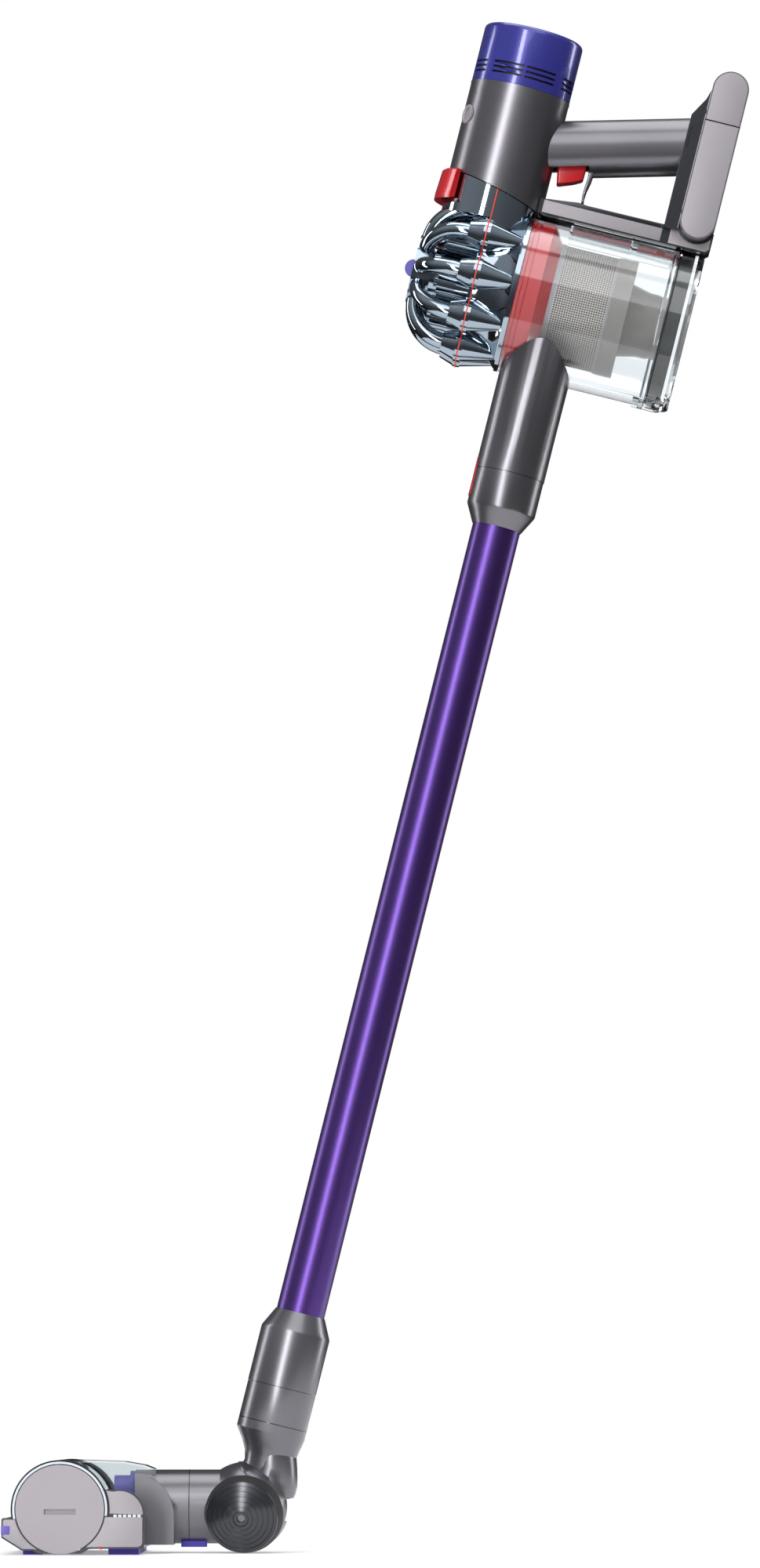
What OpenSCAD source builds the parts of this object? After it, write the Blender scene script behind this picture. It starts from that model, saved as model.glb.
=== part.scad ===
// Cordless stick vacuum, standing on its cleaner head with the wand leaning back.
// Millimetres, +Z up, head towards -X, handle towards +X, floor at Z = 0.
// The handheld unit and the wand are drawn upright in a frame whose Z axis is the
// wand's axis (its X is called p and its Z is called q in the comments), which
// in_wand() then leans back. The cleaner head is drawn in the floor frame.

/* [Wand] */
// Lean of the wand from vertical, degrees
wand_tilt = 14; // [10:1:18]
// Outer radius of the aluminium tube
tube_r = 19.2; // [18.5:0.1:19.5]
// Radius of the collars at both ends of the wand
collar_r = 27.6; // [27:0.1:28]
// Height along the wand of the lower collar's seam
low_seam_q = 103; // [100:1:105]
// Height along the wand of the upper collar's seam
high_seam_q = 847.5; // [840:0.5:850]

/* [Bin and cyclones] */
// Height of the bin's axis along the wand
bin_q = 990; // [988:1:992]
// Outer radius of the clear bin
bin_r = 63.4; // [63:0.1:63.6]
// Wall of the clear bin
bin_wall = 2.2; // [1.8:0.1:2.4]
// Radius of the mesh shroud
shroud_r = 46.5; // [45:0.5:47]
// Radius of the ring through the outer cyclones
cyclone_ring_r = 56; // [55:0.5:57]

/* [Motor and handle] */
// Distance of the motor's axis in front of the wand's axis
motor_p = -65.5; // [-66:0.5:-65]
// Radius of the motor housing
motor_r = 40; // [39.5:0.1:40.5]
// Slope of the grip against the bin's axis, degrees
grip_slope = 15.3; // [15:0.1:16]
// Radius of the grip
grip_r = 23; // [22:0.5:23.5]
// Width of the battery
battery_w = 70; // [69:1:72]

/* [Cleaner head] */
// Width of the cleaner head
head_w = 250; // [245:1:255]
// Radius of the clear window over the brush bar
window_r = 37.9; // [37.6:0.1:38.2]
// Radius of the brush bar with its bristles
brush_r = 33.5; // [32:0.5:34]
// Radius of each rear wheel's tyre at its wider edge
tyre_r = 31; // [30:0.1:31.1]
// Lean of each wheel's axle below horizontal, degrees
wheel_cant = 12; // [10:1:13]

/* [Hidden] */
$fn = 96;
cyclone_count = 10;       // outer cyclones in the ring
foot_x = -102.1;          // where the wand's axis meets the height of its frame
foot_z = 29.5;
pitch_x = -106;           // neck pitch axis, along Y
duct_z = 36;              // axis of the head's duct and of the roll joint
brush_x = -247;           // brush bar axis
brush_z = 35;
half_w = head_w / 2;
inner_w = half_w - 6.7;
brush_end = inner_w - 2;
ball_r = 35;
wheel_x = -106;
wheel_z = 30.8;
wheel_toe = 8;
bin_in_r = bin_r - bin_wall;
bin_start = -29.4;        // the bin's mouth and end, along its axis
bin_end = 89.6;
door_start = 91;
door_end = 109;
hinge_p = 100;
hinge_q = bin_q - 59;
flange_p = -33;
seal_p = -63.6;           // joint plane between cyclones and their cover
bar_low = bin_q + 65;     // underside of the lower bar
cap_q = 1147;             // bottom and top of the filter cap
cap_top = 1195;
cut_slope = 13.7;         // the housing's lower edge slopes down to the bin
cut_q = 1063;
grip_p = 30;              // a point on the grip's axis
grip_q = 1125;
cell_r = 9.2;
cell_l = 65;

// ---------- frames ----------

// The wand's frame, leaning back from the floor frame.
module in_wand() {
    translate([foot_x, 0, foot_z]) rotate([0, wand_tilt, 0]) children();
}

// The bin's frame: Z runs along the bin's axis to the rear, X points down.
module on_bin() {
    in_wand() translate([0, 0, bin_q]) rotate([0, 90, 0]) children();
}

// The motor's frame: Z runs up the motor's axis.
module on_motor() {
    in_wand() translate([motor_p, 0, 0]) children();
}

// The grip's frame: X runs along the grip to the rear, Z away from the bin.
module on_grip() {
    in_wand() translate([grip_p, 0, grip_q]) rotate([0, -grip_slope, 0]) children();
}

// A frame whose Z axis runs along the head's width at (x, z).
module across(x, z) {
    translate([x, 0, z]) rotate([90, 0, 0]) children();
}

// ---------- shapes that repeat ----------

// A tube between two heights.
module ring(outer, inner, low, high) {
    translate([0, 0, low]) difference() {
        cylinder(r = outer, h = high - low);
        translate([0, 0, -1]) cylinder(r = inner, h = high - low + 2);
    }
}

// A closed cylinder between two heights.
module post(radius, low, high) {
    translate([0, 0, low]) cylinder(r = radius, h = high - low);
}

// A cone between two heights.
module taper(r_low, r_high, low, high) {
    translate([0, 0, low]) cylinder(r1 = r_low, r2 = r_high, h = high - low);
}

// A box given by its lowest and highest corners.
module block(low, high) {
    translate(low) cube(high - low);
}

// A plate of XZ outline, centred on Y = 0 or from one Y to another.
module plate(points, y_low, y_high) {
    translate([0, y_high, 0]) rotate([90, 0, 0]) linear_extrude(y_high - y_low) polygon(points);
}

// A coil of wire as a stack of rings.
module coil(radius, wire, turns, pitch) {
    for (i = [0 : turns - 1]) translate([0, 0, i * pitch])
        rotate_extrude() translate([radius, 0]) circle(r = wire, $fn = 16);
}

// ---------- handheld: motor ----------

// Everything under the housing's sloping lower edge, lowered by a gap.
module below_cut(gap) {
    translate([0, 0, cut_q - gap]) rotate([0, cut_slope, 0]) block([-80, -80, -160], [80, 80, 0]);
}

module motor_housing() {
    color("dimgray") on_motor() difference() {
        post(motor_r, 1040, cap_q - 0.4);
        post(motor_r - 2.5, 1038, 1074);
        post(motor_r - 2.5, 1077, cap_q + 1);
        below_cut(-0.3);
        post(14, 1070, 1080);
        // window for the grip's hollow and its wires
        translate([-motor_p + grip_p, 0, grip_q]) rotate([0, 90 - grip_slope, 0]) post(6, -62, -45);
        // seat of the emblem
        rotate([0, 0, 205]) translate([motor_r - 1.4, 0, 1118]) rotate([0, 90, 0]) cylinder(r = 8.2, h = 6);
    }
}

module motor_bucket() {
    color("black") on_motor() difference() {
        post(35, 1078, 1138);
        post(33, 1080, 1139);
        post(12, 1077, 1081);
        for (a = [0 : 45 : 315]) rotate([0, 0, a]) translate([27, 0, 1077]) cylinder(r = 3, h = 4);
    }
}

module motor_stator() {
    color("firebrick") on_motor() {
        ring(24, 15, 1102, 1118);
        for (a = [0 : 90 : 270]) rotate([0, 0, a + 45]) block([23.5, -5, 1104], [32.4, 5, 1116]);
    }
}

module motor_bearings() {
    color("silver") on_motor() {
        ring(7, 2.56, 1097.5, 1101.5);
        ring(7, 2.56, 1119, 1123);
    }
}

module control_board() {
    color("darkgreen") on_motor() {
        ring(31, 8, 1126, 1127.8);
        for (a = [20 : 60 : 320]) rotate([0, 0, a]) translate([20, 0, 1127.5]) cylinder(r = 4, h = 7.35);
    }
}

module motor_shaft() {
    color("silver") on_motor() {
        post(2.5, 1083, 1125);
        ring(12, 2.5, 1103, 1117);
    }
}

module impeller() {
    color("lightgray") on_motor() difference() {
        union() {
            taper(27, 10, 1084, 1096);
            for (a = [0 : 30 : 330]) rotate([0, 0, a]) block([9, -0.6, 1084], [26, 0.6, 1094]);
        }
        post(2.5, 1083, 1098);
    }
}

module emblem_disc() {
    color("lightsteelblue") on_motor() rotate([0, 0, 205])
        translate([motor_r - 1.3, 0, 1118]) rotate([0, 90, 0]) difference() {
            cylinder(r = 8, h = 1.6);
            translate([0, 0, 1]) cylinder(r = 4.4, h = 2);
        }
}

// Curved slots through the filter cap: groups of two segments in three rows.
module cap_slots() {
    for (group = [0 : 3], half = [0, 1], row = [0 : 2])
        rotate([0, 0, group * 90 - 90 + (half == 0 ? 1.6 : -39.6)])
            translate([0, 0, 1153.6 + row * 4.1]) rotate_extrude(angle = 38)
                translate([36, 0]) square([6, 1.8]);
}

module filter_cap() {
    color("darkblue") on_motor() difference() {
        rotate_extrude() polygon(concat(
            [[0, cap_q], [motor_r, cap_q], [motor_r, cap_top - 4]],
            [for (a = [15 : 15 : 90]) [motor_r - 4 + 4 * cos(a), cap_top - 4 + 4 * sin(a)]],
            [[0, cap_top]]));
        post(motor_r - 2.6, cap_q - 1, cap_top - 3);
        cap_slots();
    }
}

module post_filter() {
    color("white") on_motor() {
        for (a = [0 : 10 : 350]) rotate([0, 0, a]) block([20, -0.9, cap_q + 3], [35, 0.9, cap_top - 6]);
        ring(22, 19, cap_q + 3, cap_top - 6);
        ring(36, 19, cap_top - 6.01, cap_top - 3.4);
    }
}

// ---------- handheld: cyclones and shroud ----------

// Angles round the bin's axis, from straight down, of the outer and inner cyclones.
outer_angles = [for (i = [0 : cyclone_count - 1]) 360 / cyclone_count * (i + 0.5)];
inner_angles = [for (i = [0 : 4]) 72 * i];

// The neck under the motor, between two planes across the bin's axis.
module cyclone_neck(p_low, p_high, r, q_low) {
    intersection() {
        on_motor() difference() {
            post(r, q_low, 1090);
            difference() {
                post(60, 1000, 1100);
                below_cut(0.3);
            }
        }
        in_wand() block([p_low, -50, 1000], [p_high, 50, 1100]);
    }
}

module cyclone_body() {
    color("silver") difference() {
        union() {
            on_bin() {
                post(64, flange_p, -30);
                rotate_extrude() polygon([
                    [40, seal_p + 0.5], [50, seal_p + 0.5], [50.6, -58], [52.6, -50], [55.8, -42], [59.4, -36.5],
                    [62, -34], [62.5, -32], [40, -32]]);
                for (a = outer_angles) rotate([0, 0, a]) translate([cyclone_ring_r, 0, 0]) {
                    post(13, seal_p + 0.5, seal_p + 3);
                    taper(12.4, 4.6, seal_p + 2, flange_p + 1.5);
                }
            }
            cyclone_neck(seal_p + 0.5, -30.6, 38.4, 1034);
        }
        on_bin() {
            post(42, -58, -29);
            post(17, -70, -29);
            for (a = outer_angles) rotate([0, 0, a]) translate([cyclone_ring_r, 0, 0])
                taper(10.4, 3, seal_p, flange_p - 4);
        }
    }
}

module cyclone_seal() {
    color("orangered") difference() {
        union() {
            on_bin() {
                post(50.6, seal_p - 0.45, seal_p + 0.45);
                for (a = outer_angles) rotate([0, 0, a]) translate([cyclone_ring_r, 0, 0])
                    post(13.6, seal_p - 0.45, seal_p + 0.45);
            }
            cyclone_neck(seal_p - 0.45, seal_p + 0.45, 38.9, 1025);
        }
        on_bin() {
            post(17, -70, -29);
            for (a = outer_angles) rotate([0, 0, a]) translate([cyclone_ring_r, 0, 0])
                post(10.4, -70, -60);
        }
    }
}

// A finger: a bent pipe from an outer cyclone to the middle of the cover.
module finger() {
    translate([26, 0, -77]) rotate([-90, 0, 0]) rotate_extrude(angle = 90)
        translate([30, 0]) circle(r = 6.4, $fn = 16);
}

module cyclone_cover() {
    $fn = 48;
    color("silver") difference() {
        union() {
            on_bin() {
                post(49, -66.5, seal_p - 0.5);
                ring(21, 17, -99.5, -66);
                ring(27.4, 17, -114, -99);
                for (a = outer_angles) rotate([0, 0, a]) {
                    translate([cyclone_ring_r, 0, 0]) {
                        post(13, seal_p - 2.5, seal_p - 0.5);
                        taper(8.6, 12.4, seal_p - 14, seal_p - 2.5);
                    }
                    finger();
                }
                for (a = inner_angles) rotate([0, 0, a]) translate([34, 0, 0]) {
                    post(9, -92, -66);
                    post(4, -95, -91);
                }
            }
            cyclone_neck(-110, seal_p - 0.5, 38.4, 1039);
        }
        on_bin() post(17, -115, -60);
        // slot for the release lever's tongue
        in_wand() block([-110, -6.4, 1051.6], [-86, 6.4, 1056.4]);
    }
}

module shroud_collar() {
    color("red") on_bin() rotate_extrude() polygon([
        [43.2, -29.9], [60.6, -29.9], [60.6, -27], [59.6, -26], [59.6, -23], [60.6, -22],
        [60.6, -12], [46.9, -3.2], [43.2, -3.2]]);
}

module shroud_mesh() {
    color("darkgray") on_bin() ring(shroud_r, shroud_r - 1.3, 0.5, 43.3);
}

module shroud_rings() {
    color("lightgray") on_bin() {
        ring(shroud_r + 0.7, shroud_r - 2, -3.1, 0.4);
        ring(shroud_r + 0.7, shroud_r - 2, 43.4, 45);
    }
}

module shroud_skirt() {
    color("gray") on_bin() difference() {
        post(shroud_r + 1, 45.1, 59);
        post(shroud_r - 1, 45, 57);
        post(24, 56, 60);
    }
}

module dust_tube() {
    color("gray") on_bin() difference() {
        union() {
            taper(29.5, 26, 59.1, 74);
            post(26, 73.9, 82);
            post(25.4, 81.9, 95.8);
        }
        taper(26, 23.6, 59, 74.5);
        post(23.6, 74, 98);
    }
}

module pre_filter() {
    color("lavender") on_bin() {
        ring(16.2, 11, -108, 20);
        post(16.2, 20.01, 23);
    }
}

module pre_filter_tab() {
    color("mediumpurple") on_bin() {
        post(16.6, -112.2, -108.05);
        difference() {
            translate([0, 0, -114]) rotate([90, 0, 0]) translate([0, 0, -1.5]) cylinder(r = 7, h = 3);
            post(30, -112.3, -90);
        }
    }
}

module release_lever() {
    color("red") {
        on_motor() difference() {
            rotate([0, 0, 138]) rotate_extrude(angle = 84) polygon([
                [40.6, 1049.5], [46.2, 1047.5], [46.4, 1052], [45.2, 1071], [43.6, 1072.4], [40.6, 1072.4]]);
        }
        in_wand() block([-106.4, -6, 1052], [-92, 6, 1056]);
    }
}

// ---------- handheld: grip, trigger and battery ----------

module grip() {
    color("gray") difference() {
        on_grip() {
            difference() {
                rotate([0, 90, 0]) post(grip_r, -70, 55);
                rotate([0, 90, 0]) post(grip_r - 2.6, -30, 36);
                block([-90, -30, -30], [-33.2, 30, -15.5]);
                block([-61.5, -9.6, -16], [-33.2, 9.6, -2.9]);
            }
        }
        on_motor() post(motor_r + 0.1, 1000, 1200);
        in_wand() block([70.9, -60, 1000], [140, 60, 1250]);
    }
}

module trigger() {
    color("red") on_grip() difference() {
        plate([[-58, -13], [-35, -13], [-35.4, -16], [-38, -25.8], [-59.5, -28.8]], -9, 9);
        translate([-47, 0, -17]) cylinder(r = 4.4, h = 5);
    }
}

module trigger_spring() {
    color("silver") on_grip() translate([-47, 0, -16.4]) coil(3.4, 0.45, 8, 1.85);
}

module trigger_guard() {
    color("dimgray") difference() {
        on_grip() difference() {
            plate([[-31.2, -14], [-28.6, -14], [-28.9, -19], [-35, -33], [-38, -44.5], [-40.4, -43.6],
                   [-37.6, -32], [-33.3, -18]], -10.5, 10.5);
            rotate([0, 90, 0]) post(grip_r + 0.05, -33.25, 0);
            block([-60, -30, -15.45], [-33.2, 30, 0]);
        }
    }
}

// The battery's rounded outline, grown by a gap, between two heights across the wand.
module battery_outline(r, half_w) {
    in_wand() {
        translate([96.5, 0, 1076.5]) rotate([90, 0, 0]) translate([0, 0, -half_w]) cylinder(r = r, h = 2 * half_w);
        translate([96.5, 0, 1184.5]) rotate([90, 0, 0]) translate([0, 0, -half_w]) cylinder(r = r, h = 2 * half_w);
        block([96.5 - r, -half_w, 1076.5], [96.5 + r, half_w, 1184.5]);
    }
}

screw_qs = [1086, 1168.5];

module battery_column() {
    color("dimgray") in_wand() difference() {
        plate([[71, 1067.1], [81.8, 1067.1], [81.8, 1183], [79.6, 1175], [71, 1160]], -22, 22);
        block([73.2, -23, 1133], [74.6, -20.6, 1150]);
        for (q = screw_qs) translate([60, 0, q]) rotate([0, 90, 0]) {
            cylinder(r = 1.8, h = 30);
            cylinder(r = 3.4, h = q < 1100 ? 14 : 17.8);
        }
    }
}

module battery_case() {
    color("darkgray") difference() {
        battery_outline(14.5, battery_w / 2);
        difference() {
            battery_outline(12.7, battery_w / 2 - 1.8);
            in_wand() translate([80, 0, 1088.8]) rotate([0, 90, 0]) post(5.4, 26.2, 40);
        }
        in_wand() {
            block([60, -60, 1156.5], [130, 60, 1250]);
            translate([107, 0, 1088.8]) rotate([0, 90, 0]) cylinder(r = 3, h = 10);
            translate([70, 0, screw_qs[0]]) rotate([0, 90, 0]) cylinder(r = 1.8, h = 20);
        }
    }
}

module battery_cap() {
    color("darkgray") difference() {
        battery_outline(14.5, battery_w / 2);
        battery_outline(12.7, battery_w / 2 - 1.8);
        in_wand() {
            block([60, -60, 1000], [130, 60, 1156.8]);
            translate([70, 0, screw_qs[1]]) rotate([0, 90, 0]) cylinder(r = 1.8, h = 20);
        }
    }
}

module battery_cells() {
    color("royalblue") in_wand() for (i = [0 : 5])
        translate([96.5, 0, 1078.5 + 20.6 * i]) rotate([90, 0, 0]) translate([0, 0, -cell_l / 2])
            cylinder(r = cell_r - 0.1, h = cell_l);
}

module battery_screws() {
    color("silver") in_wand() for (q = screw_qs)
        translate([0, 0, q]) rotate([0, 90, 0]) {
            post(1.6, q < 1100 ? 74.1 : 78, 86.6);
            post(3.1, q < 1100 ? 71.6 : 75.4, q < 1100 ? 73.9 : 77.7);
            post(1.6, q < 1100 ? 73.8 : 77.6, 80);
        }
}

module lower_bar() {
    color("darkgray") difference() {
        in_wand() difference() {
            union() {
                plate([[-31.5, bar_low], [108, bar_low], [111.4, bar_low + 3], [111.4, 1071],
                       [110, 1073], [82.2, 1073], [82.2, 1067], [-31.5, 1067]], -17, 17);
            }
            // groove that the bin's runner slides in
            block([-40, -7, bar_low - 1], [120, 7, bar_low + 5]);
        }
        battery_outline(14.7, 40);
        on_motor() post(motor_r + 0.15, 1000, 1200);
    }
}

// ---------- bin ----------

ear_y = 18;

module bin_shell() {
    color("lightcyan", 0.5) difference() {
        union() {
            on_bin() ring(bin_r, bin_in_r, bin_start, bin_end);
            in_wand() {
                block([0, -17, bin_q + 51], [84.5, 17, bin_q + 63.3]);
                // runner that slides in the lower bar's groove
                block([-12, -6.6, bin_q + 62], [bin_end, 6.6, bin_q + 69.6]);
                for (s = [-1, 1]) translate([0, s * ear_y, 0]) {
                    translate([hinge_p, 0, hinge_q]) rotate([90, 0, 0]) post(4.4, -1.8, 1.8);
                    block([80, -1.8, hinge_q - 4.4], [hinge_p, 1.8, hinge_q + 0.9]);
                }
            }
        }
        in_wand() {
            block([1.5, -10.3, bin_q + 54], [49.5, 10.3, bin_q + 61]);
            block([50.5, -8.5, bin_q + 53.5], [91, 8.5, bin_q + 61]);
            translate([hinge_p, 0, hinge_q]) rotate([90, 0, 0]) post(2.03, -30, 30);
            post(23, bin_q - 70, bin_q - 20);
        }
    }
}

module bin_inlet() {
    color("gray") difference() {
        in_wand() {
            post(28, high_seam_q, 900);
            hull() {
                translate([0, 0, 878]) cylinder(r = 28, h = 1, $fn = 32);
                for (y = [-27, 27]) translate([0.4, y, 962]) cylinder(r = 27.9, h = 1, $fn = 32);
            }
        }
        on_bin() post(bin_r + 0.1, -60, 120);
        in_wand() {
            post(20.6, 840, 880);
            post(23, 879.9, 960);
            block([-40, -7.2, 840], [-23.4, 7.2, 856.6]);
        }
    }
}

module runner_strip() {
    color("red") in_wand() block([1.6, -10.2, bin_q + 56], [49.4, 10.2, bin_q + 60]);
}

module bin_catch() {
    color("red") in_wand() {
        block([55, -8, bin_q + 55], [86.4, 8, bin_q + 59.5]);
        block([83, -8, bin_q + 54], [86.4, 8, bin_q + 60.4]);
    }
}

module bin_door() {
    color("dimgray") difference() {
        union() {
            on_bin() {
                rotate_extrude() polygon([
                    [0, 101.4], [61, 101.4], [61, door_start], [bin_r + 0.3, door_start], [bin_r + 0.3, 106],
                    [62, door_end], [58, door_end], [56, 104], [0, 104]]);
            }
            in_wand() translate([hinge_p, 0, hinge_q]) rotate([90, 0, 0]) post(4.6, -ear_y + 2.2, ear_y - 2.2);
        }
        in_wand() {
            for (s = [-1, 1]) translate([0, s * ear_y, 0])
                block([door_start - 1, -2.1, hinge_q - 10], [hinge_p + 5, 2.1, hinge_q + 5]);
            translate([hinge_p, 0, hinge_q]) rotate([90, 0, 0]) post(2.4, -30, 30);
        }
    }
}

module door_seal() {
    color("black") difference() {
        on_bin() rotate_extrude() polygon([
            [56.6, 88], [60.3, 88], [60.3, door_start], [60.9, door_start], [60.9, 101.3], [57.6, 101.3], [57.6, 92]]);
        in_wand() for (s = [-1, 1]) translate([0, s * ear_y, 0])
            block([door_start - 5, -2.1, hinge_q - 10], [hinge_p + 5, 2.1, hinge_q + 5]);
        in_wand() translate([hinge_p, 0, hinge_q]) rotate([90, 0, 0]) post(5, -ear_y - 4, ear_y + 4);
    }
}

module door_pin() {
    color("silver") in_wand() translate([hinge_p, 0, hinge_q]) rotate([90, 0, 0]) post(2, -ear_y - 1.8, ear_y + 1.8);
}

// ---------- wand ----------

module wand_tube() {
    color("rebeccapurple") in_wand() ring(tube_r, tube_r - 1.6, low_seam_q + 42, high_seam_q - 27);
}

module wand_top_collar() {
    color("gray") in_wand() difference() {
        union() {
            rotate_extrude() polygon([
                [tube_r + 0.05, 804], [tube_r + 0.6, 804], [27, 817.5], [collar_r, 819], [collar_r, high_seam_q - 0.4],
                [17, high_seam_q - 0.4], [17, 821], [tube_r + 0.05, 821]]);
            ring(20.1, 17, high_seam_q - 0.5, 876);
        }
        block([-40, -7, 824], [-22.8, 7, high_seam_q]);
    }
}

module wand_latch() {
    color("red") in_wand() difference() {
        union() {
            block([-28.4, -6.6, 824.4], [-24.6, 6.6, 855.8]);
        }
        for (q = [829 : 2.4 : 842]) block([-29, -6, q], [-27.7, 6, q + 1]);
        difference() {
            block([-40, -8, 820], [-20, 8, 860]);
            post(28.2, 820, 860);
        }
    }
}

module wand_bottom_collar() {
    color("gray") in_wand() rotate_extrude() polygon([
        [20.6, low_seam_q], [collar_r - 0.1, low_seam_q], [collar_r - 0.1, 147], [27, 148.5],
        [tube_r + 0.6, 163], [tube_r + 0.05, 163], [tube_r + 0.05, 144.9], [17.6, 144.9], [17.6, 140], [20.6, 140]]);
}

module wand_cable() {
    color("dimgray") in_wand() translate([-12.5, 0, 0]) post(2.4, 144, 872);
}

// ---------- neck and wheels ----------

module at_pitch() {
    translate([pitch_x, 0, duct_z]) children();
}

// The duct's frame: Z runs along the floor to the rear.
module on_duct() {
    translate([0, 0, duct_z]) rotate([0, 90, 0]) children();
}

// A wheel's frame: Z runs out along its canted axle.
module on_wheel(side) {
    translate([wheel_x, side * 31, wheel_z]) rotate([0, 0, side * wheel_toe])
        rotate([-side * (90 + wheel_cant), 0, 0]) children();
}

module neck_elbow() {
    color("gray") difference() {
        union() {
            in_wand() {
                post(27.3, 66, low_seam_q - 0.4);
                post(20.2, low_seam_q - 0.5, 138);
                hull() {
                    translate([0, 0, 65.9]) cylinder(r = 27.3, h = 0.2, $fn = 64);
                    translate([4.5, 0, 46]) cylinder(r = 19.5, h = 0.2, $fn = 64);
                }
                translate([4.5, 0, 0]) post(19.5, 30, 46.1);
            }
            // hood and elbow that ride over the ball
            at_pitch() rotate([0, wand_tilt, 0]) intersection() {
                union() {
                    sphere(r = 39);
                    hull() for (at = [[9.9, 40.6], [16.2, 24.6], [16.2, 12.6]])
                        translate([at[0], 0, at[1]]) sphere(r = 19.5, $fn = 48);
                }
                plate([[0, 0], [-14.5, 58.2], [20.5, 56.4], [54.8, 24.4]], -24, 24);
            }
        }
        at_pitch() sphere(r = 35.5);
        in_wand() {
            translate([4.5, 0, 0]) post(12, 20, 60);
            post(16.5, 58, 139);
        }
    }
}

module neck_ball() {
    color("black") difference() {
        union() {
            intersection() {
                at_pitch() sphere(r = ball_r);
                block([-145, -25.5, 4], [-60, 25.5, 80]);
            }
            on_duct() {
                post(29, -149.3, -112);
                post(24.4, -164, -149);
            }
            for (side = [-1, 1]) on_wheel(side) {
                post(9, -8, 0.5);
                post(3, 0.4, 17);
            }
        }
        intersection() {
            at_pitch() sphere(r = 31);
            block([-145, -21.5, 7], [-60, 21.5, 80]);
        }
        on_duct() {
            post(21.5, -165, -106);
            post(25.5, -146, -112);
        }
        for (side = [-1, 1]) on_wheel(side) ring(tyre_r + 0.8, 25, 0.2, 15);
        // slot that the neck's mouth sweeps over
        at_pitch() plate([[0, 0], [0, 60], [32.7, 50.3], [54.8, 24.4], [56.4, -20.5]], -12, 12);
    }
}

module duct_felt() {
    color("slateblue") difference() {
        block([-156, -12, 4.4], [-136, 12, 10]);
        on_duct() post(29.35, -160, -130);
        at_pitch() sphere(r = ball_r + 0.02);
    }
}

module wheel(side) {
    color("gray") on_wheel(side) rotate_extrude() polygon([
        [3.3, 1.6], [25.3, 1.6], [25.3, 13], [28.5, 13], [28.1, 14.3], [25.4, 15.8], [25, 15.4], [21.6, 17.3],
        [21.2, 16.9], [17.6, 18.5], [17.2, 18.1], [13.6, 19.4], [13.2, 19], [9.6, 20], [9.2, 19.6], [6.2, 20.3],
        [5.6, 19.4], [3.3, 19.4]]);
}

module tyre(side) {
    color("black") on_wheel(side) rotate_extrude() polygon([
        [25.4, 1], [28.8, 0.6], [tyre_r - 0.4, 1], [tyre_r, 2], [tyre_r - 2.1, 11.7], [tyre_r - 2.8, 12.7], [25.4, 12.9]]);
}

module wheel_left() { wheel(1); }
module wheel_right() { wheel(-1); }
module tyre_left() { tyre(1); }
module tyre_right() { tyre(-1); }

// ---------- cleaner head ----------

// The head's outline from the side; the round part is the brush chamber.
module end_outline() {
    intersection() {
        union() {
            translate([brush_x, brush_z]) circle(r = window_r);
            polygon([[-292, 13], [-292, 27], [-291, 28.2], [-280, 28.4], [-262, 3.3], [-276.4, 3.3]]);
            translate([-201, 31]) circle(r = 19.2);
            translate([-240, 4.6]) square([58.2, 25.8]);
            translate([-225, 25]) square([24, 25.2]);
        }
        translate([-300, 0.8]) square([120, 90]);
    }
}

// An end cover's plate from one Y to another.
module end_plate(y_low, y_high) {
    translate([0, y_high, 0]) rotate([90, 0, 0]) linear_extrude(y_high - y_low) end_outline();
}

module end_cover_left() {
    color("darkgray") difference() {
        end_plate(half_w - 6.5, half_w);
        translate([-215.3, half_w - 1, 5.2]) rotate([90, 0, 0]) cylinder(r = 1.2, h = 2);
    }
}

module end_cover_right() {
    color("darkgray") difference() {
        end_plate(-half_w, -half_w + 6.5);
        across(brush_x, brush_z) post(34.7, half_w - 8, half_w + 1);
        across(-215.3, 5.2) post(1.8, half_w - 1, half_w + 1);
    }
}

module roller_cap() {
    color("darkgray") across(brush_x, brush_z) difference() {
        union() {
            post(34.2, half_w - 6, half_w + 0.4);
            post(15.5, half_w - 8.4, half_w - 5.9);
        }
        block([-12.2, -4, half_w - 2.4], [12.2, 0.2, half_w + 1]);
    }
}

module head_chassis() {
    color("dimgray") difference() {
        union() {
            block([-212, -inner_w, 4.5], [-183, inner_w, 29.4]);
            plate([[-291.6, 13.4], [-291.6, 26.8], [-290.8, 27.8], [-280, 27.8], [-262, 3.4], [-276.4, 3.4]],
                -inner_w, inner_w);
            intersection() {
                across(-194.5, 29) post(33.5, -44, 44);
                block([-191.5, -44, 28], [-160, 44, 70]);
            }
            block([-191.5, -44, 6.5], [-161, 44, 29]);
            on_duct() post(29, -192, -149.9);
        }
        across(brush_x, brush_z) post(window_r + 0.2, -130, 130);
        on_duct() post(24.8, -230, -140);
        block([-290, -60, 10], [-284.6, 60, 15]);
    }
}

module head_window() {
    color("lightcyan", 0.4) difference() {
        union() {
            across(brush_x, brush_z) post(window_r, -inner_w, inner_w);
            plate([[-247, 60], [-247, 73.1], [-200, 71.4], [-184, 68.6], [-176, 65.4], [-192.2, 65.2], [-192.2, 48]],
                -40, 40);
        }
        across(brush_x, brush_z) post(window_r - 2, -130, 130);
        plate([[-247, 40], [-247, 71.4], [-200, 69.7], [-184.4, 66.9], [-180, 65.5], [-180, 40]], -38.3, 38.3);
        block([-300, -130, -20], [-270, 130, 28.5]);
        block([-300, -130, -20], [-180, 130, 29.8]);
        on_duct() post(29.1, -192.1, -140);
    }
}

module duct_gasket() {
    color("mediumpurple") on_duct() {
        ring(24.6, 22.5, -208.6, -192.2);
        intersection() {
            ring(28, 24.3, -196, -192.3);
            translate([-40, -40, -200]) cube([46.1, 80, 20]);
        }
    }
}

module brush_bar() {
    color("darkgray") across(brush_x, brush_z) {
        ring(22, 18.5, -brush_end, brush_end);
        ring(18.6, 10.5, brush_end - 3, brush_end - 0.5);
    }
}

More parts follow.
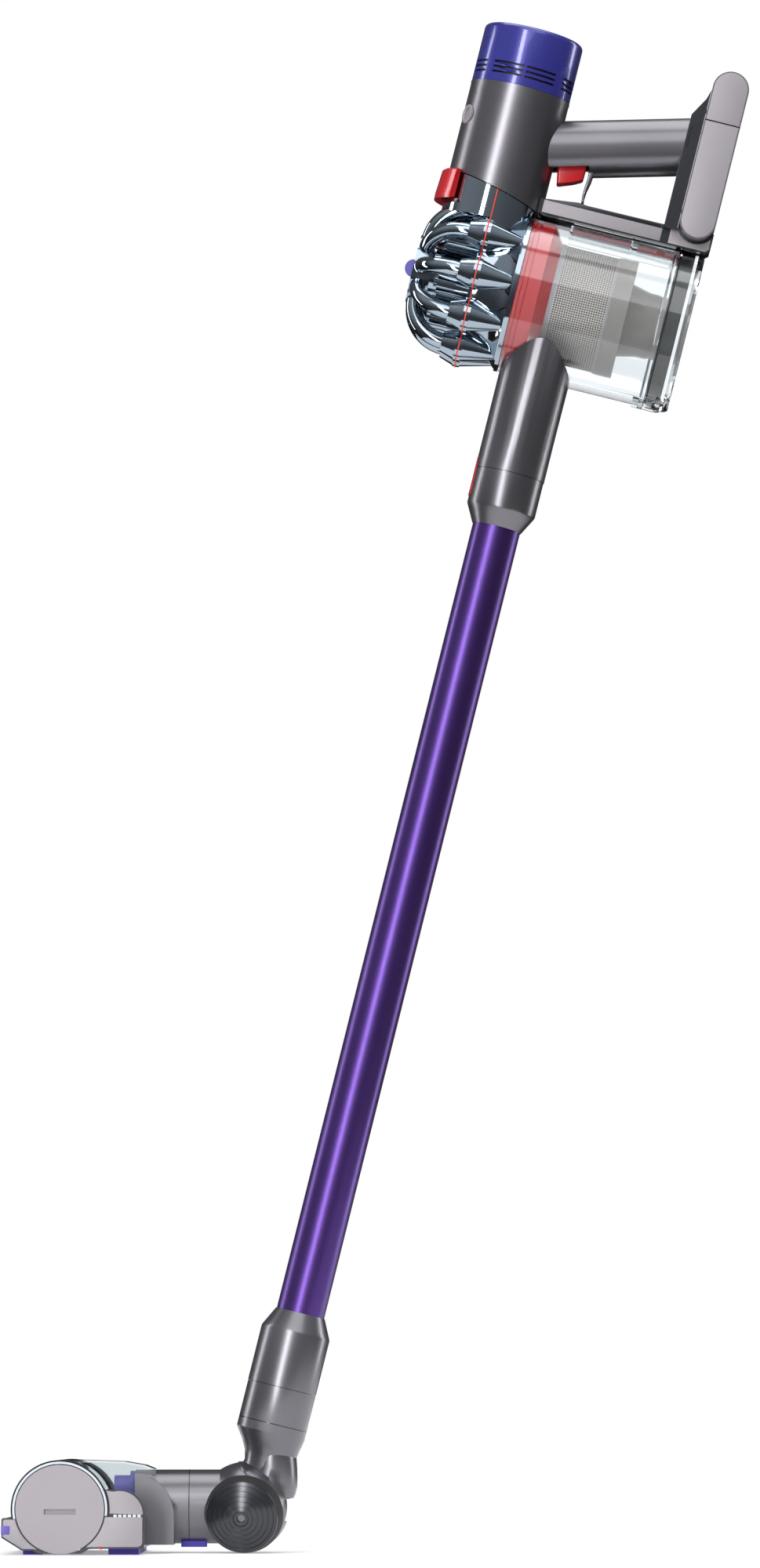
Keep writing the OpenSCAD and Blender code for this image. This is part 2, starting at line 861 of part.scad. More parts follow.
module brush_bristles() {
    color("purple") across(brush_x, brush_z) ring(brush_r, 22.05, -brush_end + 1, brush_end - 1);
}

module brush_motor() {
    color("silver") across(brush_x, brush_z) {
        post(16, -inner_w - 0.2, 20);
        post(3, 19.9, 60);
    }
}

module felt_strips() {
    color("slateblue") {
        plate([[-276, 0], [-261, 0], [-261.6, 3.3], [-276, 3.3]], -108, 108);
        block([-210, -108, 0], [-186.5, 108, 4.4]);
    }
}

motor_housing();
motor_bucket();
motor_stator();
motor_bearings();
control_board();
impeller();
motor_shaft();
emblem_disc();
filter_cap();
post_filter();
cyclone_body();
cyclone_seal();
cyclone_cover();
shroud_collar();
shroud_mesh();
shroud_rings();
shroud_skirt();
dust_tube();
pre_filter();
pre_filter_tab();
release_lever();
grip();
trigger();
trigger_spring();
trigger_guard();
battery_column();
battery_case();
battery_cap();
battery_cells();
battery_screws();
lower_bar();
bin_shell();
bin_inlet();
runner_strip();
bin_catch();
bin_door();
door_seal();
door_pin();
wand_tube();
wand_top_collar();
wand_bottom_collar();
wand_latch();
wand_cable();
neck_elbow();
neck_ball();
duct_felt();
wheel_left();
wheel_right();
tyre_left();
tyre_right();
head_chassis();
head_window();
end_cover_left();
end_cover_right();
roller_cap();
brush_bar();
brush_bristles();
brush_motor();
felt_strips();
duct_gasket();
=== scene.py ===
"""Cordless stick vacuum cleaner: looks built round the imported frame."""
import math

import bmesh
import bpy
from mathutils import Matrix, Vector


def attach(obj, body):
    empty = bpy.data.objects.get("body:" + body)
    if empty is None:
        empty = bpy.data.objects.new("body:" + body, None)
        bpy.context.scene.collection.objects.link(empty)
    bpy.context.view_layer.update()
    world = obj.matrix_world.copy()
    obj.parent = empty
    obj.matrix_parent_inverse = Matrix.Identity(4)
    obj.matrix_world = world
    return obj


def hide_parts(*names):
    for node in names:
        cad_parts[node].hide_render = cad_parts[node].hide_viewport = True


bl_info = {
    "name": "Stick Vacuum Cleaner",
    "version": (1, 0, 0),
    "blender": (4, 5, 0),
    "location": "View3D > Sidebar > Stick Vacuum",
    "description": "Casings, trims and finishes of a cordless stick vacuum cleaner on its CAD frame",
    "category": "Add Mesh",
}

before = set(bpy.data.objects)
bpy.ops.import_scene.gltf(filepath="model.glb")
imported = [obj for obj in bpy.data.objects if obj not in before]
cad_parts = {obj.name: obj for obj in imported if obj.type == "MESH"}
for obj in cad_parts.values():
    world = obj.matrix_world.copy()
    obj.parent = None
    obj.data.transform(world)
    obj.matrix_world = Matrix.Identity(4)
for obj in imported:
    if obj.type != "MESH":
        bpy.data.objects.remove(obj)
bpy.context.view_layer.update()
MM = 0.001

# Frames of the machine's sections, in metres. Each has its own Z along the section's axis.
WAND = Matrix.Translation((-0.1021, 0, 0.0295)) @ Matrix.Rotation(math.radians(14), 4, "Y")
BIN = WAND @ Matrix.Translation((0, 0, 0.990)) @ Matrix.Rotation(math.radians(90), 4, "Y")
MOTOR = WAND @ Matrix.Translation((-0.0655, 0, 0))
GRIP = WAND @ Matrix.Translation((0.030, 0, 1.125)) @ Matrix.Rotation(math.radians(-15.3), 4, "Y")
PITCH = Matrix.Translation((-0.106, 0, 0.036))
DUCT = Matrix.Translation((0, 0, 0.036)) @ Matrix.Rotation(math.radians(90), 4, "Y")
BRUSH = Matrix.Translation((-0.247, 0, 0.035)) @ Matrix.Rotation(math.radians(90), 4, "X")
FLOOR = Matrix.Identity(4)


def wheel_frame(side):
    """Frame of a wheel, Z outwards along its canted axle."""
    place = Matrix.Translation((-0.106, side * 0.031, 0.0308))
    toe = Matrix.Rotation(math.radians(side * 8), 4, "Z")
    cant = Matrix.Rotation(math.radians(-side * 102), 4, "X")
    return place @ toe @ cant


# ---------- settings ----------

class StickVacuumSettings(bpy.types.PropertyGroup):
    """Sizes and levels that a user would change."""
    panel_margin: bpy.props.FloatProperty(
        name="Panel margin", description="Dark edge left round each pale battery panel",
        default=0.0009, min=0.0, max=0.004, subtype="DISTANCE", unit="LENGTH")
    room_light: bpy.props.FloatProperty(
        name="Room light", description="Strength of the even light of the studio",
        default=0.6, min=0.0, max=2.0)
    lens: bpy.props.FloatProperty(
        name="Lens", description="Focal length of the camera in millimetres",
        default=189.0, min=50.0, max=400.0)


# ---------- materials ----------

def linear(colour):
    """An sRGB hex colour as linear RGBA."""
    parts = [int(colour[i:i + 2], 16) / 255 for i in (1, 3, 5)]
    return tuple(c / 12.92 if c <= 0.04045 else ((c + 0.055) / 1.055) ** 2.4 for c in parts) + (1.0,)


def add(tree, kind, links=(), **settings):
    """Adds a node. Settings are its properties, or its inputs by name; links are (input, socket) pairs."""
    n = tree.nodes.new(kind)
    for key, value in settings.items():
        if hasattr(n, key):
            setattr(n, key, value)
        else:
            n.inputs[key.replace("_", " ")].default_value = value
    for key, socket in links:
        tree.links.new(n.inputs[key], socket)
    return n


def start(name, colour, **sockets):
    """A new material with one Principled shader, whose constant sockets are set here."""
    m = bpy.data.materials.new(name)
    m.use_nodes = True
    tree = m.node_tree
    tree.nodes.clear()
    shader = add(tree, "ShaderNodeBsdfPrincipled")
    shader.inputs["Base Color"].default_value = linear(colour)
    for key, value in sockets.items():
        shader.inputs[key.replace("_", " ")].default_value = value
    add(tree, "ShaderNodeOutputMaterial", [("Surface", shader.outputs[0])])
    m.diffuse_color = linear(colour)
    return m, tree, shader


def grain(tree, shader, size_mm, rough, height_mm, colours=None, stretch=(1, 1, 1), turn=(0, 0, 0)):
    """Fine unevenness: noise of one size drives roughness, a slight height and, if given, a colour drift."""
    coords = add(tree, "ShaderNodeTexCoord")
    place = add(tree, "ShaderNodeMapping", [("Vector", coords.outputs["Object"])])
    place.inputs["Rotation"].default_value = turn
    place.inputs["Scale"].default_value = stretch
    fine = add(tree, "ShaderNodeTexNoise", [("Vector", place.outputs[0])], Scale=1 / (size_mm * MM), Detail=3.0)
    spread = add(tree, "ShaderNodeMapRange", [("Value", fine.outputs["Fac"])], To_Min=rough[0], To_Max=rough[1])
    tree.links.new(shader.inputs["Roughness"], spread.outputs[0])
    bump = add(tree, "ShaderNodeBump", [("Height", fine.outputs["Fac"])], Strength=0.35, Distance=height_mm * MM)
    tree.links.new(shader.inputs["Normal"], bump.outputs[0])
    if colours:
        broad = add(tree, "ShaderNodeTexNoise", [("Vector", coords.outputs["Object"])], Scale=18.0, Detail=2.0)
        drift = add(tree, "ShaderNodeMix", [("Factor", broad.outputs["Fac"])], data_type="RGBA")
        drift.inputs["A"].default_value = linear(colours[0])
        drift.inputs["B"].default_value = linear(colours[1])
        tree.links.new(shader.inputs["Base Color"], drift.outputs["Result"])
    return coords, fine


MATERIALS = {}


def make_materials(sizes):
    """All finishes of the machine."""
    # ABS sprayed with metal flake under a satin lacquer: grey with long soft highlights.
    m, t, s = start("flake_lacquered_abs", "#6e6c73", Metallic=0.88, Coat_Weight=0.25, Coat_Roughness=0.25)
    grain(t, s, 0.9, (0.27, 0.34), 0.008, ("#6c6b70", "#7a787d"))
    MATERIALS["nickel"] = m
    # The same lacquer, darker: a shaded copy of it, painted shade on inner and lower mouldings.
    m, t, s = start("dark_flake_abs", "#3c3d42", Metallic=0.7, Coat_Weight=0.3, Coat_Roughness=0.2)
    grain(t, s, 0.9, (0.2, 0.28), 0.008, ("#37383d", "#434449"))
    MATERIALS["dark_nickel"] = m
    # Moulded ABS with fine spark-eroded texture: pale warm grey, nearly matt.
    m, t, s = start("pale_textured_abs", "#98939a", Metallic=0.3)
    grain(t, s, 1.2, (0.44, 0.56), 0.02, ("#959095", "#9d989c"))
    MATERIALS["pale"] = m
    # Black ABS polished in the mould.
    m, t, s = start("black_polished_abs", "#141517")
    grain(t, s, 2.5, (0.12, 0.2), 0.004)
    MATERIALS["black"] = m
    # Vacuum-chromed ABS: mirror with a cold blue cast.
    m, t, s = start("vacuum_chromed_abs", "#9ba8b3", Metallic=1.0)
    grain(t, s, 9.0, (0.04, 0.08), 0.006)
    MATERIALS["chrome"] = m
    # Soft orange-red elastomer of the cyclone joint.
    m, t, s = start("orange_elastomer", "#e2401c")
    grain(t, s, 1.5, (0.4, 0.5), 0.01)
    MATERIALS["orange"] = m
    # Solid red ABS, polished: trigger, catches, collar.
    m, t, s = start("red_polished_abs", "#c4101c", Coat_Weight=0.5, Coat_Roughness=0.08)
    grain(t, s, 2.0, (0.2, 0.3), 0.006, ("#bd0e1a", "#cc1420"))
    MATERIALS["red"] = m
    # Royal-blue ABS, polished, with a slight flop.
    m, t, s = start("blue_polished_abs", "#31318c", Metallic=0.25, Coat_Weight=0.6, Coat_Roughness=0.06)
    grain(t, s, 2.5, (0.22, 0.3), 0.005, ("#2e2e86", "#353594"))
    MATERIALS["blue"] = m
    # Violet ABS, satin.
    m, t, s = start("violet_satin_abs", "#5a50a8")
    grain(t, s, 1.5, (0.35, 0.45), 0.008, ("#554ca2", "#6057b0"))
    MATERIALS["violet"] = m
    # Drawn aluminium, brushed lengthwise and anodised violet: fine lines along the wand.
    m, t, s = start("violet_anodised_aluminium", "#50337f", Metallic=0.92, Anisotropic=0.4,
                    Coat_Weight=0.3, Coat_Roughness=0.32)
    grain(t, s, 0.8, (0.27, 0.36), 0.006, ("#4b3079", "#563886"),
          stretch=(1, 1, 0.02), turn=(0, math.radians(-14), 0))
    MATERIALS["anodised"] = m
    # Clear polycarbonate, polished in the mould.
    # key, name, tint, roughness, IOR, specular level
    clear_kinds = (
        ("clear", "clear_polycarbonate", "#f4f8fa", 0.02, 1.49, 0.15),
        ("window", "window_polycarbonate", "#e6ecee", 0.04, 1.4, 0.5),
    )
    for key, name, tint, rough, ior, specular in clear_kinds:
        m, t, s = start(name, tint, Transmission_Weight=1.0, IOR=ior, Roughness=rough,
                        Specular_IOR_Level=specular)
        m.surface_render_method = "DITHERED"
        coords = add(t, "ShaderNodeTexCoord")
        flow = add(t, "ShaderNodeTexNoise", [("Vector", coords.outputs["Object"])], Scale=30.0, Detail=1.0)
        bump = add(t, "ShaderNodeBump", [("Height", flow.outputs["Fac"])], Strength=0.03, Distance=0.0002)
        t.links.new(s.inputs["Normal"], bump.outputs[0])
        MATERIALS[key] = m
    # Etched stainless mesh: holes in a diamond grid. A real pitch of about 0.9 mm is drawn
    # at 1.9 mm so that it shows.
    m, t, s = start("etched_stainless_mesh", "#8f8883", Metallic=0.8, Roughness=0.42)
    coords = add(t, "ShaderNodeTexCoord")
    place = add(t, "ShaderNodeMapping", [("Vector", coords.outputs["Object"])])
    inverse = BIN.inverted()
    place.inputs["Location"].default_value = inverse.to_translation()
    place.inputs["Rotation"].default_value = inverse.to_euler()
    split = add(t, "ShaderNodeSeparateXYZ", [("Vector", place.outputs[0])])
    angle = add(t, "ShaderNodeMath", [(0, split.outputs["Y"]), (1, split.outputs["X"])], operation="ARCTAN2")
    pitch = 0.0019
    around = add(t, "ShaderNodeMath", [(0, angle.outputs[0])], operation="MULTIPLY")
    around.inputs[1].default_value = 154.0 / 2
    along = add(t, "ShaderNodeMath", [(0, split.outputs["Z"])], operation="MULTIPLY")
    along.inputs[1].default_value = math.pi / pitch
    waves = []
    for sign in ("ADD", "SUBTRACT"):
        both = add(t, "ShaderNodeMath", [(0, around.outputs[0]), (1, along.outputs[0])], operation=sign)
        waves.append(add(t, "ShaderNodeMath", [(0, both.outputs[0])], operation="SINE"))
    cell = add(t, "ShaderNodeMath", [(0, waves[0].outputs[0]), (1, waves[1].outputs[0])], operation="MULTIPLY")
    wires = add(t, "ShaderNodeMapRange", [("Value", cell.outputs[0])], From_Min=-0.25, From_Max=0.35)
    tint = add(t, "ShaderNodeMix", [("Factor", wires.outputs[0])], data_type="RGBA")
    tint.inputs["A"].default_value = linear("#b3aca6")
    tint.inputs["B"].default_value = linear("#4b4643")
    t.links.new(s.inputs["Base Color"], tint.outputs["Result"])
    bump = add(t, "ShaderNodeBump", [("Height", wires.outputs[0])], Strength=0.5, Distance=0.0003)
    bump.invert = True
    t.links.new(s.inputs["Normal"], bump.outputs[0])
    MATERIALS["mesh"] = m
    # Edge of the clear window: bluish white painted on an opaque surface as light shining through it, a painted
    # highlight.
    m, t, s = start("lit_polycarbonate_edge", "#c9d2d8", Coat_Weight=0.4)
    grain(t, s, 2.0, (0.2, 0.3), 0.006, ("#c2ccd3", "#d0d8dd"))
    MATERIALS["rim"] = m
    # Grey ABS inside the bin, slightly glossy.
    m, t, s = start("stone_grey_abs", "#857e7a")
    grain(t, s, 1.6, (0.26, 0.36), 0.008, ("#807975", "#8d8682"))
    MATERIALS["stone"] = m
    # Polyurethane tyre, matt, with a trace of floor dust.
    m, t, s = start("black_polyurethane", "#17181a")
    grain(t, s, 1.0, (0.55, 0.72), 0.03, ("#131415", "#222325"))
    MATERIALS["tyre"] = m
    # Moulded black rubber of seals.
    m, t, s = start("black_seal_rubber", "#1b1c1f")
    grain(t, s, 1.4, (0.35, 0.5), 0.02)
    MATERIALS["rubber"] = m
    # Bright drawn steel of shafts, pins, springs and screws.
    m, t, s = start("bright_steel", "#b9b9bd", Metallic=1.0)
    grain(t, s, 0.5, (0.22, 0.34), 0.004)
    MATERIALS["steel"] = m
    # Laminated iron with copper-coloured lacquer.
    m, t, s = start("lacquered_stator_iron", "#6e3a28", Metallic=0.6)
    grain(t, s, 0.8, (0.35, 0.5), 0.02)
    MATERIALS["stator"] = m
    # Glass-fibre board under green solder mask.
    m, t, s = start("green_circuit_board", "#1d4a2e")
    grain(t, s, 0.9, (0.3, 0.42), 0.01)
    MATERIALS["board"] = m
    # Pleated polyester fleece: white, soft, fibrous.
    m, t, s = start("white_filter_fleece", "#e4e2dd", Sheen_Weight=0.3)
    grain(t, s, 0.6, (0.85, 0.95), 0.08, ("#dcdad5", "#eceae6"))
    MATERIALS["fleece"] = m
    # Violet polyester felt glued under the head.
    m, t, s = start("violet_felt", "#4a40a4", Sheen_Weight=0.5)
    grain(t, s, 0.7, (0.85, 0.95), 0.12, ("#4138a0", "#554bb0"))
    MATERIALS["felt"] = m
    # Shrink-wrapped battery cells.
    m, t, s = start("blue_cell_wrap", "#2a5c9c")
    grain(t, s, 3.0, (0.25, 0.35), 0.01)
    MATERIALS["cell"] = m
    # Stiff nylon filament, extruded and cut to length: violet tufts.
    m, t, s = start("violet_nylon_filament", "#5540a8", Sheen_Weight=0.2)
    grain(t, s, 0.5, (0.45, 0.6), 0.15, ("#4c389c", "#6450b8"))
    MATERIALS["nylon"] = m
    # Soft carbon filament: fine, dark, slightly silky.
    m, t, s = start("black_carbon_filament", "#1a1a1d", Sheen_Weight=0.5)
    grain(t, s, 0.4, (0.5, 0.7), 0.2, ("#141416", "#26262a"))
    MATERIALS["carbon"] = m


# ---------- shapes ----------

def smooth(mesh, sharp=32):
    """Shades a mesh smooth, with edges steeper than an angle left crisp."""
    mesh.polygons.foreach_set("use_smooth", [True] * len(mesh.polygons))
    mesh.set_sharp_from_angle(angle=math.radians(sharp))


def piece_from(bm, name, place, finishes, body, sharp=32):
    """Makes a shape, drawn in one section's frame, a piece that rides on a body."""
    bmesh.ops.remove_doubles(bm, verts=bm.verts, dist=1e-6)
    bmesh.ops.recalc_face_normals(bm, faces=bm.faces)
    bmesh.ops.transform(bm, matrix=place, verts=bm.verts)
    mesh = bpy.data.meshes.new(name)
    bm.to_mesh(mesh)
    bm.free()
    smooth(mesh, sharp)
    piece = bpy.data.objects.new(name, mesh)
    bpy.context.scene.collection.objects.link(piece)
    for finish in finishes.split():
        mesh.materials.append(MATERIALS[finish])
    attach(piece, body)
    return piece


def moved(geom):
    return [g for g in geom if isinstance(g, bmesh.types.BMVert)]


def plate(outline, low, high, rounding, segments=3, bm=None):
    """An outline in X and Z drawn out along Y, in mm, with both rims rounded."""
    bm = bm or bmesh.new()
    face = bm.faces.new([bm.verts.new((x * MM, low * MM, z * MM)) for x, z in outline])
    drawn = bmesh.ops.extrude_face_region(bm, geom=[face])["geom"]
    top = moved(drawn)
    bmesh.ops.translate(bm, vec=(0, (high - low) * MM, 0), verts=top)
    if rounding:
        rim = {e for v in list(face.verts) + top for e in v.link_edges
               if abs(e.verts[0].co.y - e.verts[1].co.y) < 1e-7}
        bmesh.ops.bevel(bm, geom=list(rim), offset=rounding * MM, offset_type="OFFSET", affect="EDGES",
                        segments=segments, profile=0.5, material=-1)
    return bm


def both_sides(outline, low, high, rounding, segments=3):
    """The same plate on the machine's two sides."""
    bm = plate(outline, low, high, rounding, segments)
    return plate(outline, -high, -low, rounding, segments, bm)


def lathe(profile, closed=True, steps=96, turn=360, from_angle=0):
    """A profile of radii and heights, in mm, turned about Z."""
    bm = bmesh.new()
    verts = [bm.verts.new((r * MM, 0, z * MM)) for r, z in profile]
    pairs = list(zip(verts, verts[1:])) + ([(verts[-1], verts[0])] if closed else [])
    edges = [bm.edges.new(pair) for pair in pairs]
    bmesh.ops.rotate(bm, verts=verts, cent=(0, 0, 0), matrix=Matrix.Rotation(math.radians(from_angle), 3, "Z"))
    full = turn == 360
    bmesh.ops.spin(bm, geom=verts + edges, cent=(0, 0, 0), axis=(0, 0, 1), angle=math.radians(turn), steps=steps,
                   use_merge=full)
    bmesh.ops.remove_doubles(bm, verts=bm.verts, dist=1e-7)
    if not full:
        bmesh.ops.holes_fill(bm, edges=[e for e in bm.edges if e.is_boundary], sides=0)
    return bm


def loft(rings):
    """Skins a stack of rings of points, in mm, and closes both ends."""
    bm = bmesh.new()
    loops = []
    for ring in rings:
        verts = [bm.verts.new((x * MM, y * MM, z * MM)) for x, y, z in ring]
        loops.append([bm.edges.new(pair) for pair in zip(verts, verts[1:] + verts[:1])])
    for low, high in zip(loops, loops[1:]):
        bmesh.ops.bridge_loops(bm, edges=low + high)
    bmesh.ops.holes_fill(bm, edges=loops[0] + loops[-1], sides=0)
    return bm


def stadium(x, low, high, radius, steps=20, square_low=False, square_high=False):
    """Outline of an upright slot shape between two centre heights; either end can be cut square."""
    points = []
    for centre, start, cut in ((high, 0, square_high), (low, 180, square_low)):
        if cut:
            points += [(x + radius * math.cos(math.radians(start)), centre),
                       (x - radius * math.cos(math.radians(start)), centre)]
        else:
            points += [(x + radius * math.cos(math.radians(start + 180 * i / steps)),
                        centre + radius * math.sin(math.radians(start + 180 * i / steps))) for i in range(steps + 1)]
    return points


def arc(x, z, radius, start, end, steps):
    """Points along an arc in X and Z, angles in degrees."""
    return [(x + radius * math.cos(math.radians(start + (end - start) * i / steps)),
             z + radius * math.sin(math.radians(start + (end - start) * i / steps))) for i in range(steps + 1)]


# ---------- CAD nodes ----------

NODE_FINISHES = {
    "nickel": "motor_housing grip battery_case battery_cap bin_inlet wand_top_collar "
              "wand_bottom_collar neck_elbow head_chassis neck_ball",
    "dark_nickel": "impeller trigger_guard battery_column lower_bar end_cover_left end_cover_right "
                   "wheel_left wheel_right",
    "pale": "emblem_disc roller_cap shroud_rings",
    "rubber": "motor_bucket door_seal wand_cable",
    "steel": "motor_bearings motor_shaft trigger_spring battery_screws door_pin brush_motor",
    "stator": "motor_stator",
    "board": "control_board",
    "blue": "filter_cap",
    "fleece": "post_filter pre_filter",
    "chrome": "cyclone_body cyclone_cover",
    "orange": "cyclone_seal",
    "red": "shroud_collar release_lever trigger runner_strip bin_catch wand_latch",
    "mesh": "shroud_mesh",
    "stone": "shroud_skirt dust_tube",
    "violet": "pre_filter_tab brush_bar duct_gasket",
    "cell": "battery_cells",
    "clear": "bin_shell bin_door",
    "window": "head_window",
    "anodised": "wand_tube",
    "felt": "duct_felt felt_strips",
    "tyre": "tyre_left tyre_right",
    "carbon": "brush_bristles",
}


def smooth_group(sharp):
    """A geometry-nodes tree that shades smooth by angle."""
    group = bpy.data.node_groups.new("smooth_by_angle_%d" % sharp, "GeometryNodeTree")
    group.interface.new_socket("Geometry", in_out="INPUT", socket_type="NodeSocketGeometry")
    group.interface.new_socket("Geometry", in_out="OUTPUT", socket_type="NodeSocketGeometry")
    before = add(group, "NodeGroupInput")
    angle = add(group, "GeometryNodeInputMeshEdgeAngle")
    steep = add(group, "FunctionNodeCompare", [("A", angle.outputs["Unsigned Angle"])], data_type="FLOAT",
                operation="LESS_EQUAL")
    steep.inputs["B"].default_value = math.radians(sharp)
    face = add(group, "GeometryNodeSetShadeSmooth", [("Geometry", before.outputs[0])], domain="FACE")
    edge = add(group, "GeometryNodeSetShadeSmooth",
               [("Geometry", face.outputs[0]), ("Shade Smooth", steep.outputs["Result"])], domain="EDGE")
    add(group, "NodeGroupOutput", [("Geometry", edge.outputs[0])])
    return group


def dress_frame():
    """Finishes on the CAD nodes, whose loose triangles are welded and shaded by modifiers."""
    group = smooth_group(28)
    for finish, names in NODE_FINISHES.items():
        for name in names.split():
            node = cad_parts[name]
            node.data.materials.clear()
            node.data.materials.append(MATERIALS[finish])
            weld = node.modifiers.new("Weld", "WELD")
            weld.merge_threshold = 0.000002
            shade = node.modifiers.new("Smooth", "NODES")
            shade.node_group = group


# ---------- pieces ----------

class VACUUM_OT_battery_cheeks(bpy.types.Operator):
    """Pale textured panels on both faces of the battery, parted where its case meets its cap."""
    bl_idname = "vacuum.battery_cheeks"
    bl_label = "Battery Panels"

    def execute(self, context):
        sizes = context.scene.stick_vacuum
        r = 14.5 - sizes.panel_margin * 1000
        low = stadium(96.5, 1076.5, 1156.2, r, square_high=True)
        high = stadium(96.5, 1157.1, 1184.5, r, square_low=True)
        bm = both_sides(low, 35, 35.6, 0.4)
        for points, a, b in ((high, 35, 35.6), (high, -35.6, -35)):
            plate(points, a, b, 0.4, 3, bm)
        piece_from(bm, "battery_cheeks", WAND, "pale", "handheld")
        seam = [(81.9, 1156.3), (111.1, 1156.3), (111.1, 1157.0), (81.9, 1157.0)]
        piece_from(both_sides(seam, 34.9, 35.15, 0), "battery_seam", WAND, "black", "handheld")
        return {"FINISHED"}


class VACUUM_OT_bar_panels(bpy.types.Operator):
    """Pale sides of the lower bar and its foot, with a dark strip along the top."""
    bl_idname = "vacuum.bar_panels"
    bl_label = "Lower Bar Panels"

    def execute(self, context):
        side = [(-26, 1056.1), (70.6, 1056.1), (70.6, 1066.3), (-26, 1066.3)]
        bm = both_sides(side, 17, 17.45, 0.3)
        foot = [(77, 1056.1), (107.4, 1056.1), (110.3, 1058.6), (110.3, 1068.0)] + arc(96.5, 1076.5, 16.2, -32, -158, 16) + [
            (77, 1070.4)]
        for a, b in ((17, 17.45), (-17.45, -17)):
            plate(foot, a, b, 0.3, 3, bm)
        piece_from(bm, "bar_cheeks", WAND, "pale", "handheld")
        strip = [(-24, 1067), (71, 1067), (71, 1070.6), (8, 1070.2), (1, 1071.0), (-6, 1070.0), (-24, 1068.0)]
        piece_from(plate(strip, -13.5, 13.5, 0.5), "bar_strip", WAND, "dark_nickel", "handheld")
        return {"FINISHED"}


class VACUUM_OT_trigger_and_guard(bpy.types.Operator):
    """The finger trigger and the blade in front of it, with the soft corners of a moulded part."""
    bl_idname = "vacuum.trigger_and_guard"
    bl_label = "Trigger and Guard"

    def execute(self, context):
        outline = [(-58.0, -13.2), (-35.2, -13.2), (-35.6, -17), (-38.2, -25.6), (-46, -27.4), (-59.3, -28.6)]
        bm = plate(outline, -9, 9, 0)
        bmesh.ops.bevel(bm, geom=bm.edges[:], offset=1.8 * MM, offset_type="OFFSET", affect="EDGES", segments=4,
                        profile=0.5, material=-1)
        trigger = piece_from(bm, "trigger_shape", GRIP, "red", "trigger")
        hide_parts("trigger")
        blade = [(-31.4, -13.6), (-28.6, -13.6), (-28.9, -19), (-31.4, -26), (-35, -33), (-37.2, -39), (-38.2, -44.3),
                 (-40.2, -43.7), (-39.2, -38), (-37.4, -32), (-34.8, -25), (-33.2, -18)]
        bm = plate(blade, -10.5, 10.5, 0.9, 4)
        guard = piece_from(bm, "guard_blade", GRIP, "nickel", "handheld")
        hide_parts("trigger_guard")
        return {"FINISHED"}


class VACUUM_OT_motor_trim(bpy.types.Operator):
    """Raised facets under the cap on both sides of the housing, a black ring of painted shade inside the cap behind its
    slots, and the ring of the front badge.
    """
    bl_idname = "vacuum.motor_trim"
    bl_label = "Motor Housing Trim"

    def execute(self, context):
        bm = lathe([(39.6, 1125), (40.3, 1125), (40.3, 1146.8), (39.6, 1146.8)], steps=128)
        bmesh.ops.bisect_plane(bm, geom=bm.verts[:] + bm.edges[:] + bm.faces[:], plane_co=(0, 0, 1.147),
                               plane_no=Vector((0, 0.375, 1)).normalized(), clear_inner=True)
        bmesh.ops.holes_fill(bm, edges=[e for e in bm.edges if e.is_boundary], sides=0)
        twin = bmesh.ops.duplicate(bm, geom=bm.verts[:] + bm.edges[:] + bm.faces[:])["geom"]
        bmesh.ops.scale(bm, vec=(1, -1, 1), verts=moved(twin))
        piece_from(bm, "housing_facets", MOTOR, "nickel", "handheld")
        # A black ring inside the cap behind its slots: painted shade, so the slots read dark instead of showing the
        # white filter.
        bm = lathe([(36.9, 1150.5), (37.25, 1150.5), (37.25, 1167.5), (36.9, 1167.5)], steps=96)
        piece_from(bm, "cap_slot_painted_shade", MOTOR, "rubber", "filter_cap")
        around = Matrix.Rotation(math.radians(205), 4, "Z")
        outwards = Matrix.Rotation(math.radians(90), 4, "Y")
        badge = MOTOR @ around @ Matrix.Translation((0.0387, 0, 1.118)) @ outwards
        bm = lathe([(5.0, 1.5), (7.4, 1.5), (7.9, 1.8), (7.7, 2.3), (6.6, 2.7), (5.4, 2.4)], steps=48)
        piece_from(bm, "badge_ring", badge, "pale", "handheld")
        return {"FINISHED"}


class VACUUM_OT_bin_trim(bpy.types.Operator):
    """Moulded rim of the clear bin and its inlet's seam."""
    bl_idname = "vacuum.bin_trim"
    bl_label = "Bin Trim"

    def execute(self, context):
        bm = lathe([(63.2, 84.5), (65.0, 84.8), (65.4, 86.6), (65.0, 88.6), (63.2, 89.2)], steps=128)
        piece_from(bm, "bin_rim", BIN, "clear", "bin")
        bm = lathe([(27.6, 896.8), (28.07, 896.8), (28.07, 897.3), (27.6, 897.3)], steps=96)
        piece_from(bm, "inlet_seam", WAND, "black", "bin")
        return {"FINISHED"}


class VACUUM_OT_wand_trim(bpy.types.Operator):
    """Seams of the collars and of the swivel neck, and black discs painted as shadow inside the collar joints."""
    bl_idname = "vacuum.wand_trim"
    bl_label = "Wand and Neck Seams"

    def execute(self, context):
        # Black discs in the joints of the neck and wand collars: painted shadow in the gaps.
        bm = lathe([(21.2, 102.66), (26.9, 102.66), (26.9, 102.94), (21.2, 102.94)], steps=96)
        piece_from(bm, "neck_joint_shadow", WAND, "black", "neck")
        bm = lathe([(20.6, 847.16), (27.2, 847.16), (27.2, 847.44), (20.6, 847.44)], steps=96)
        piece_from(bm, "wand_joint_shadow", WAND, "black", "wand")
        for name, r, q, body in (("neck_seam", 27.3, 73.5, "neck"),):
            bm = lathe([(r - 0.4, q - 0.3), (r + 0.06, q - 0.3), (r + 0.06, q + 0.3), (r - 0.4, q + 0.3)], steps=96)
            piece_from(bm, name, WAND, "black", body)
        return {"FINISHED"}


def circle(centre, radius, lean, count=56):
    """Points of a circle whose plane leans about Y, in the wand's frame and in mm."""
    p, q = centre
    tilt = math.radians(lean)
    return [(p + radius * math.cos(a) * math.cos(tilt), radius * math.sin(a), q - radius * math.cos(a) * math.sin(tilt))
            for a in (2 * math.pi * i / count for i in range(count))]


